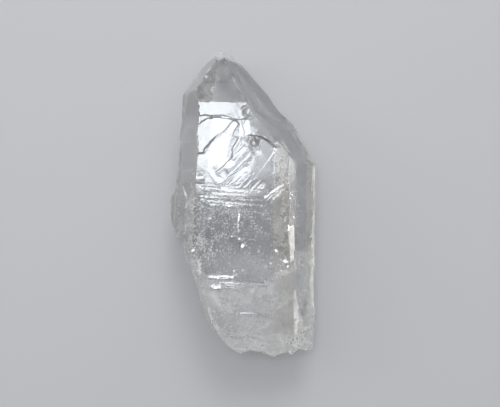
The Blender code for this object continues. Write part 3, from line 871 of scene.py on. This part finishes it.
# Strokes just under the surface: width, depth, number, least and largest size, skin, pixels
STROKES = {
    "arc_streak": (0.13, 0.35, 230, 0.09, 0.17, "glint", (208.2, 275.9), (220, 276.4), (233.3, 277.1)),
    "arc_streak_end": (0.14, 0.4, 50, 0.08, 0.16, "white", (233, 277.1), (244, 278.4), (256, 280.3),
        (264.4, 281.1)),
    "arc_corner": (0.2, 0.4, 50, 0.08, 0.22, "white", (270, 279.5), (276.3, 277.5), (282, 276.6),
        (286.7, 272.4)),
    "second_streak": (0.1, 0.4, 120, 0.07, 0.13, "glint", (221.3, 281.9), (236, 282.6), (252.4, 283.9),
        (266.8, 285.1)),
    "third_streak": (0.1, 0.4, 44, 0.09, 0.17, "glint", (225.3, 285.1), (234, 285.5), (242.8, 285.9)),
    "blob": (0.24, 0.4, 44, 0.1, 0.26, "glint", (211.5, 284.6), (216, 286.6), (221, 285.6)),
    "base_line": (0.08, 0.4, 90, 0.1, 0.17, "glint", (240, 312.6), (248, 312.9), (256.4, 313.4)),
    "base_line_end": (0.08, 0.4, 26, 0.06, 0.12, "white", (256, 313.4), (264, 314.8), (271, 317)),
    "base_slant": (0.12, 0.25, 50, 0.08, 0.15, "white", (276.3, 309), (284.7, 303.5)),
    "blue_streak": (0.3, 0.3, 280, 0.07, 0.16, "blue", (303.4, 297), (304.2, 302.7), (301, 309),
        (297, 313)),
    "upper_arc": (0.06, 0.25, 60, 0.06, 0.12, "white", (256.5, 299.5), (259, 297), (263, 294.8),
        (268, 294.7), (273.5, 296)),
    "long_arc": (0.06, 0.25, 70, 0.06, 0.12, "white", (273.4, 313), (272.6, 317.5), (270, 321.8),
        (263.6, 326.6), (256, 330.4)),
    "blue_dot": (0.15, 0.4, 8, 0.15, 0.28, "white", (296.3, 318.6), (297.6, 319.4)),
    "pink_spot": (0.22, 0.5, 22, 0.14, 0.3, "white", (299, 261.2), (300, 264.4)),
    "bright_spot": (0.24, 0.5, 12, 0.1, 0.24, "pink_glint", (284.4, 260.8), (287.2, 262.2)),
    "upright": (0.1, 1.6, 30, 0.08, 0.19, "glint", (238.7, 211.5), (238.5, 219), (238, 225),
        (238.3, 230.5)),
    "long_streak": (0.06, 0.4, 150, 0.07, 0.15, "bluish", (225.2, 208.6), (240, 210.6), (255, 212.2),
        (269, 213.7)),
    "band": (0.42, 0.5, 120, 0.08, 0.24, "white", (212.6, 193.8), (230, 195), (248, 196.2)),
    "band_low": (0.16, 0.5, 34, 0.08, 0.16, "bluish", (222, 200.5), (236, 202), (252, 203)),
    "middle_line": (0.08, 0.8, 26, 0.07, 0.13, "white", (239.5, 238.4), (246, 239.2), (252.2, 239.8)),
    "left_smear": (0.5, 1, 40, 0.1, 0.24, "cream", (198.5, 233), (200, 240), (201, 246), (203, 251)),
    "left_low_streak": (0.18, 0.5, 60, 0.1, 0.2, "white", (198.6, 260), (199.4, 266), (200, 273)),
    "right_dashes": (0.1, 1.2, 12, 0.09, 0.16, "glint", (285.4, 217), (285.2, 222.5)),
    "right_slant": (0.1, 1.2, 8, 0.09, 0.16, "glint", (284.6, 225), (285, 229)),
    "right_fan": (0.22, 1.2, 16, 0.12, 0.26, "warm_glint", (290, 226.5), (287.6, 232)),
    "right_glow": (0.26, 0.8, 14, 0.08, 0.2, "glint", (291, 190), (292, 196), (291.6, 203)),
    "corner": (0.28, 0.4, 26, 0.12, 0.28, "pink_glint", (245.6, 102.6), (247.2, 103.8), (248.4, 105.6)),
    "right_rim": (0.26, 0.45, 110, 0.07, 0.17, "cream", (289.8, 122), (295, 130.5), (300.5, 140),
        (305.6, 149.5)),
    "tip_speck": (0.1, 0.5, 6, 0.16, 0.3, "glint", (205.6, 77.8), (207, 76.4)),
    "tip_dash": (0.22, 0.6, 18, 0.1, 0.22, "white", (212.3, 86.5), (212, 92.5)),
    "slope_line": (0.5, 0.5, 110, 0.07, 0.2, "white", (250, 84), (257, 98), (267, 110.5), (279, 121),
        (291, 130)),
    "slope_dark": (0.4, 0.5, 70, 0.07, 0.17, "dark", (238, 66), (247, 80), (255, 95), (266, 108),
        (292, 132)),
    "slope_glints": (0.6, 0.5, 30, 0.07, 0.18, "warm_glint", (254, 92), (262, 106), (276, 119), (290, 134)),
    "side_line": (0.04, 0.3, 80, 0.06, 0.1, "white", (298.5, 210.6), (307, 211.6), (316, 213)),
    "furrow_one": (0.05, 0.35, 66, 0.09, 0.16, "glint", (263.4, 199.4), (283.4, 184.6)),
    "furrow_two": (0.05, 0.35, 44, 0.07, 0.13, "glint", (266, 201.4), (280.2, 189)),
    "furrow_three": (0.05, 0.35, 40, 0.06, 0.11, "glint", (271.6, 201.4), (284.6, 189.2)),
    "slope_speck": (0.3, 0.6, 14, 0.1, 0.22, "warm_glint", (259.6, 103.4), (261, 106.4)),
    "slope_speck_low": (0.14, 0.5, 7, 0.1, 0.2, "cream", (274.2, 120.5), (274.8, 124)),
    "slope_dash": (0.18, 0.5, 12, 0.07, 0.15, "cream", (276, 113.6), (283.5, 119)),
    "slope_dot": (0.1, 0.5, 5, 0.14, 0.24, "glint", (284.4, 133), (285.6, 133.6)),
    # Specks of painted shade: dark flecks for the dark band that refraction shows along the tip's arch
    "tip_arch_painted_shade": (0.1, 0.5, 30, 0.08, 0.18, "dark", (221.4, 59.4), (228.2, 58.8), (235.4, 61.4),
        (245.6, 66.6)),
    "tip_painted_shade": (0.18, 0.5, 8, 0.14, 0.24, "dark", (224, 59.6), (225.4, 60.2)),
    "dark_lump": (0.6, 0.7, 34, 0.08, 0.22, "dark", (174, 199.5), (178, 206.5), (181, 212)),
    "bubble_shade": (0.1, 1.4, 24, 0.09, 0.16, "dark", (240.6, 242.8), (239.4, 245.4), (240.2, 248.6)),
    "base_smudge": (0.3, 0.6, 14, 0.08, 0.16, "dark", (269, 300.4), (269.6, 303.6)),
    "low_smudge": (0.3, 0.5, 14, 0.08, 0.18, "dark", (290.8, 346.6), (293.6, 349.4)),
    "left_dots": (0.08, 0.5, 4, 0.14, 0.24, "glint", (190.8, 226), (191.2, 226.4)),
    "left_dots_low": (0.08, 0.5, 4, 0.16, 0.26, "glint", (191.5, 251), (192.1, 251.4)),
    "left_edge_dot": (0.06, 0.5, 5, 0.18, 0.28, "glint", (202.8, 297), (203.2, 297.4)),
}

# Single bright spots: column, row, size, depth, skin
SPOTS = (
    (209.2, 218.3, 0.36, 1, "glint"), (229, 206.1, 0.42, 1, "warm_glint"), (213.5, 204.4, 0.26, 1, "glint"),
    (231.6, 236.4, 0.3, 1.2, "glint"), (239, 238.9, 0.36, 1.2, "warm_glint"),
    (242.6, 246.5, 0.52, 1.5, "pink_glint"), (258.5, 250.7, 0.28, 1, "glint"),
    (276.4, 250.9, 0.5, 1, "glint"), (270.4, 263.5, 0.24, 0.8, "glint"),
    (266, 267.2, 0.2, 0.8, "warm_glint"), (234, 271.4, 0.26, 0.7, "glint"),
    (235.6, 275, 0.26, 0.6, "glint"), (242.8, 270.8, 0.24, 0.7, "blue_glint"),
    (193.7, 250.3, 0.24, 0.8, "glint"), (204.2, 251.5, 0.26, 1, "warm_glint"),
    (252.4, 291.5, 0.24, 0.5, "glint"), (252.8, 294.7, 0.28, 0.5, "glint"),
    (250, 299.1, 0.24, 0.5, "glint"), (229.3, 297.1, 0.24, 0.6, "glint"),
    (223.6, 328.6, 0.2, 0.5, "warm_glint"), (242.2, 335.6, 0.24, 0.5, "warm_glint"),
    (281.9, 270.8, 0.28, 0.6, "blue_glint"), (247, 192, 0.3, 0.5, "glint"),
    (258.3, 192.2, 0.28, 0.5, "glint"), (293.8, 217.2, 0.24, 0.8, "glint"),
    (207, 193.6, 0.24, 0.6, "glint"), (192.4, 218, 0.22, 0.6, "glint"), (287.6, 266.6, 0.24, 0.5, "glint"),
    (284.5, 268.5, 0.2, 0.5, "warm_glint"), (286.4, 270.4, 0.2, 0.5, "blue_glint"),
    (283, 273.2, 0.18, 0.5, "pink_glint"), (304, 198, 0.18, 0.5, "glint"),
    (305.6, 222.4, 0.2, 0.5, "glint"), (279.5, 224, 0.2, 1, "warm_glint"), (264, 220, 0.2, 1, "warm_glint"),
    (248, 229, 0.22, 1.2, "glint"),
)

# Skins of the inclusions: colour, how metallic, roughness and how flat
SKINS = {
    "white": ((0.97, 0.97, 0.96), 0.0, 0.4, 0.30),
    "bluish": ((0.88, 0.93, 0.98), 0.0, 0.4, 0.30),
    "blue": ((0.60, 0.72, 0.95), 0.0, 0.4, 0.30),
    "cream": ((0.99, 0.965, 0.915), 0.0, 0.4, 0.30),
    # Dark: painted shade at the tip's arch and on the bubble's rim, plain dark specks elsewhere
    "dark": ((0.09, 0.085, 0.08), 0.0, 0.6, 0.30),
    "glint": ((0.98, 0.98, 0.97), 1.0, 0.32, 0.08),
    "warm_glint": ((0.98, 0.93, 0.84), 1.0, 0.32, 0.08),
    "pink_glint": ((0.98, 0.85, 0.92), 1.0, 0.32, 0.08),
    "blue_glint": ((0.80, 0.90, 0.98), 1.0, 0.32, 0.08),
}

# Flakes: the size from which one has six corners and not three, how uneven they are, the least
# depth beyond its size, and how far a glint leans towards +Y
SMALL_FLECK = 0.16
FLECK_STRETCH = (0.6, 1.35)
FLECK_CLEARANCE = 0.05
GLINT_TILT = 0.09

# Specks of a cloud: least size, how rare large ones are, least depth, and how they clump
SMALLEST = 0.07
RARENESS = 5
CLOUD_DEPTH = 1.0
CLUMP_SIZE = 2.4
CLUMP_RANGE = (-0.35, 0.45)

# Flecks along every second ruled furrow, and the small ones around each bright spot
SLANT_FLECKS = 26
SLANT_FLECK_DEPTH = 0.35
SLANT_FLECK_SIZES = (0.06, 0.11)
SPOT_GAIN = 0.72
SPOT_COMPANIONS = 6


def add_object(name, data):
    """A new object of the scene."""
    item = bpy.data.objects.new(name, data)
    bpy.context.scene.collection.objects.link(item)
    return item


def make_object(name, points, faces):
    """A mesh object from points in metres."""
    mesh = bpy.data.meshes.new(name)
    mesh.from_pydata(points, [], faces)
    mesh.update()
    return add_object(name, mesh)


def add_fleck(points, faces, place, size, normal, flatness, chance):
    """Adds one tiny flat flake to the points and faces of a piece."""
    z = normal.normalized()
    x = z.orthogonal().normalized()
    y = z.cross(x)
    spin = chance.uniform(0, 2 * math.pi)
    corners = 3 if size < SMALL_FLECK else 6
    start = len(points)
    for i in range(corners):
        turn = spin + 2 * math.pi * i / corners
        stretch = chance.uniform(*FLECK_STRETCH) * size
        points.append((place + (x * math.cos(turn) + y * math.sin(turn)) * stretch) * MM)
    top = len(points)
    points += [(place + z * size * flatness) * MM, (place - z * size * flatness) * MM]
    for i in range(corners):
        this = start + i
        after = start + (i + 1) % corners
        faces += [(this, after, top), (after, this, top + 1)]


# Height above the floor from which the surface is looked for
RAY_START = 60


class Solid:
    """The crystal's fine surface, for placing things under it."""

    def __init__(self, crystal):
        bm = bmesh.new()
        bm.from_mesh(crystal.data)
        self.tree = BVHTree.FromBMesh(bm)
        bm.free()

    def under(self, column, row, depth):
        """The place this far below the surface that the photograph shows at this pixel."""
        height = FRONT_HEIGHT
        for _ in range(3):
            x, y = photo_point(column, row, height)
            hit = self.tree.ray_cast(Vector((x, y, RAY_START)) * MM, Vector((0, 0, -1)))[0]
            if hit is None:
                return None
            height = hit.z / MM
        return Vector((x, y, height - depth))

    def holds(self, place, depth):
        """Whether a place lies inside, at least this deep below the surface."""
        spot = place * MM
        near, normal, _, distance = self.tree.find_nearest(spot)
        return (spot - near).dot(normal) < 0 and distance > depth * MM


def scatter(chance, spread, middle=(0, 0, 0)):
    """A random place or direction about the middle."""
    return Vector([chance.gauss(at, width) for at, width in zip(middle, spread)])


def mostly_level(chance, skin):
    """An outward direction near +Z; a glint leans to where the overhead light is."""
    if SKINS[skin][1]:
        return Vector((chance.gauss(0, 0.06), chance.gauss(GLINT_TILT, 0.05), 1))
    return Vector((chance.gauss(0, 0.5), chance.gauss(0, 0.5), 1))


def cloud_flecks(solid, chance):
    """Specks gathered in wisps within each cloud, as (place, size, outward direction, skin)."""
    made = []
    for (column, row), height, spread, count, largest, skin in CLOUDS.values():
        middle = (*photo_point(column, row), height)
        spread = [reach / 1.5 for reach in spread]
        for _ in range(count):
            place = scatter(chance, spread, middle)
            normal = scatter(chance, (1, 1, 1))
            size = SMALLEST + (largest - SMALLEST) * chance.random() ** RARENESS
            clump = noise.noise(place / CLUMP_SIZE) + 0.4 * noise.noise(place * 2.5 / CLUMP_SIZE)
            if clump > chance.uniform(*CLUMP_RANGE) and solid.holds(place, CLOUD_DEPTH):
                made.append((place, size, normal, skin))
    return made


def stroke_flecks(solid, chance):
    """Specks strung along each stroke, as (place, size, outward direction, skin)."""
    made = []

    def add(place, size, skin):
        made.append((place, size, mostly_level(chance, skin), skin))

    for width, depth, count, small, large, skin, *pixels in STROKES.values():
        line = smooth_line(pixels, step=1.0, wobble=0.3, seed=depth + len(made))
        for i in range(count):
            at = (i + chance.random()) / count * (len(line) - 1)
            before = line[int(at)]
            after = line[min(int(at) + 1, len(line) - 1)]
            place = solid.under(*(before + (after - before) * (at - int(at))), depth)
            if place is not None:
                place += scatter(chance, (width, width, 0.12))
                add(place, chance.uniform(small, large), skin)
    for start, end in slants()[3::2]:
        for _ in range(SLANT_FLECKS):
            pixel = start + (end - start) * chance.uniform(0.05, 0.85)
            add(solid.under(*pixel, SLANT_FLECK_DEPTH), chance.uniform(*SLANT_FLECK_SIZES), "glint")
    for column, row, size, depth, skin in SPOTS:
        place = solid.under(column, row, depth)
        size *= SPOT_GAIN
        add(place, size, skin)
        for _ in range(SPOT_COMPANIONS):
            near = place + scatter(chance, (1, 1, 0.4)) * size
            add(near, size * chance.uniform(0.2, 0.5), skin)
    return made


def make_inclusions(crystal):
    """All specks, one joined piece for each skin."""
    chance = random.Random(23)
    solid = Solid(crystal)
    flecks = cloud_flecks(solid, chance) + stroke_flecks(solid, chance)
    for skin, (colour, metallic, roughness, flatness) in SKINS.items():
        points = []
        faces = []
        for place, size, normal, its_skin in flecks:
            if its_skin == skin and solid.holds(place, size + FLECK_CLEARANCE):
                add_fleck(points, faces, place, size, normal, flatness, chance)
        item = make_object(f"inclusions_{skin}", points, faces)
        item.data.materials.append(inclusion_material(skin, colour, metallic, roughness))
        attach(item, "root")


# Section: floor, lights and camera. Lengths are metres here

FLOOR_GAP = 0.0003
FLOOR_RADIUS = 1.6
FLOOR_COLOUR = (0.37, 0.37, 0.38, 1.0)
FLASH = (0.89, 0.945, 1.0)
COOL = (0.93, 0.96, 1.0)
WARM = (1.0, 0.94, 0.84)

# The overhead light: place, width and length, radiance, colour, and how it falls off: an axis
# (0 is x, 1 is y), two places along it and the shares left at both
OVERHEAD = ((-0.020, 0.0625, 0.40), (0.14, 0.115), 15.5, FLASH, (
    (0, -0.020, 0.012, 1.0, 0.24), (1, 0.005, 0.042, 0.0, 1.0)))

# The other lights: place, aim, width and length, radiance, colour
LIGHTS = {
    "left_high": ((-0.50, 0.104, 0.27), (0.0, 0.06, 0.01), (0.092, 0.18), 5.4, WARM),
    "left_low": ((-0.50, -0.016, 0.27), (0.0, 0.0, 0.01), (0.148, 0.18), 0.5, WARM),
    "key": ((0.05, 0.46, 0.46), (0.0, -0.01, 0.0), (0.22, 0.22), 11.0, COOL),
}

# The surround: its bright side, between which nearness to that side it brightens, and its colour
KEY_SIDE = (-0.14, 0.70, 0.70)
SKY_RANGE = (0.15, 0.95)
SKY_DIM = 0.30
SKY_BRIGHT = 1.45
SKY_COLOUR = (0.98, 0.985, 1.0, 1.0)


def make_floor():
    """A plain pale floor just under the crystal."""
    bpy.ops.mesh.primitive_circle_add(
        vertices=96, radius=FLOOR_RADIUS, fill_type="NGON", location=(0, 0, -FLOOR_GAP))
    floor = bpy.context.object
    floor.name = "floor"
    material, tree, shader = new_material("floor")
    connect(tree, shader, {"Base Color": FLOOR_COLOUR, "Roughness": 0.9})
    floor.data.materials.append(material)


def soft_light(name, place, aim, size, radiance, colour):
    """A rectangular soft light at place, facing aim."""
    lamp = bpy.data.lights.new(name, "AREA")
    lamp.shape = "RECTANGLE"
    lamp.size, lamp.size_y = size
    lamp.energy = radiance * math.pi * size[0] * size[1]
    lamp.color = colour
    item = add_object(name, lamp)
    item.location = place
    item.rotation_euler = (Vector(aim) - Vector(place)).to_track_quat("-Z", "Y").to_euler()
    item.visible_camera = False
    return item


def graded_light(name, place, size, radiance, colour, falls):
    """A soft light facing straight down whose radiance changes across it."""
    item = soft_light(name, place, (place[0], place[1], 0.0), size, radiance, colour)
    item.rotation_euler = (0, 0, 0)
    item.data.use_nodes = True
    tree = item.data.node_tree
    where = node(tree, "ShaderNodeNewGeometry").outputs["Parametric"]
    where = node(tree, "ShaderNodeSeparateXYZ", {"Vector": where}).outputs
    share = 1.0
    for axis, start, end, first, last in falls:
        corner = place[axis] - size[axis] / 2
        low = (start - corner) / size[axis]
        high = (end - corner) / size[axis]
        fall = smooth_range(tree, where[axis], low, high, first, last)
        share = math_node(tree, "MULTIPLY", share, fall)
    connect(tree, tree.nodes["Emission"], {"Strength": share})


def make_sky():
    """A soft studio surround: bright above and behind the point, dim on the other side."""
    world = bpy.data.worlds.new("studio")
    bpy.context.scene.world = world
    world.use_nodes = True
    tree = world.node_tree
    ray = node(tree, "ShaderNodeTexCoord").outputs["Generated"]
    toward = node(tree, "ShaderNodeVectorMath", {0: ray, 1: KEY_SIDE}, operation="DOT_PRODUCT")
    sky = smooth_range(tree, toward.outputs["Value"], *SKY_RANGE, SKY_DIM, SKY_BRIGHT)
    connect(tree, tree.nodes["Background"], {"Color": SKY_COLOUR, "Strength": sky})


def make_lights():
    """The overhead light, whose mirror image is the highlight, the side lights and the surround."""
    graded_light("overhead", *OVERHEAD)
    for name, settings in LIGHTS.items():
        soft_light(name, *settings)
    make_sky()


def make_camera():
    """The camera at the photograph's viewing angle."""
    lens = bpy.data.cameras.new("camera")
    lens.sensor_width = SENSOR_WIDTH
    lens.lens = FOCAL_PIXELS / PHOTO_WIDTH * SENSOR_WIDTH
    lens.clip_start = 0.001
    camera = add_object("camera", lens)
    camera.location = Vector(CAMERA_PLACE) * MM
    camera.rotation_euler = (0, 0, CAMERA_ROLL)
    bpy.context.scene.camera = camera


SHARP_ANGLE = 32.0


def make_crystal():
    """The crystal's fine surface, which stands for its solid."""
    bm = cad_copy()
    surface = FineSurface(bm)
    bm.free()
    smooth_the_breaks(surface)
    raise_front_relief(surface)
    raise_face_relief(surface)
    wear_the_edges(surface)
    roughen_the_breaks(surface)
    lay_the_polished_steps(surface)
    cut_the_teeth(surface)
    crystal = make_object("crystal", (surface.points * MM).tolist(), surface.triangles.tolist())
    crystal.data.materials.append(quartz_material())
    paint_wear(crystal, surface)
    crystal.data.shade_smooth()
    crystal.data.set_sharp_from_angle(angle=math.radians(SHARP_ANGLE))
    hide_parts(NODE)
    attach(crystal, "root")
    return crystal


# Light passes through many clear surfaces, one behind the other
BOUNCES = 24
GLOSSY_BOUNCES = 12

make_inclusions(make_crystal())
make_floor()
make_lights()
make_camera()
scene = bpy.context.scene
scene.view_settings.view_transform = "Standard"
scene.cycles.max_bounces = BOUNCES
scene.cycles.transmission_bounces = BOUNCES
scene.cycles.glossy_bounces = GLOSSY_BOUNCES
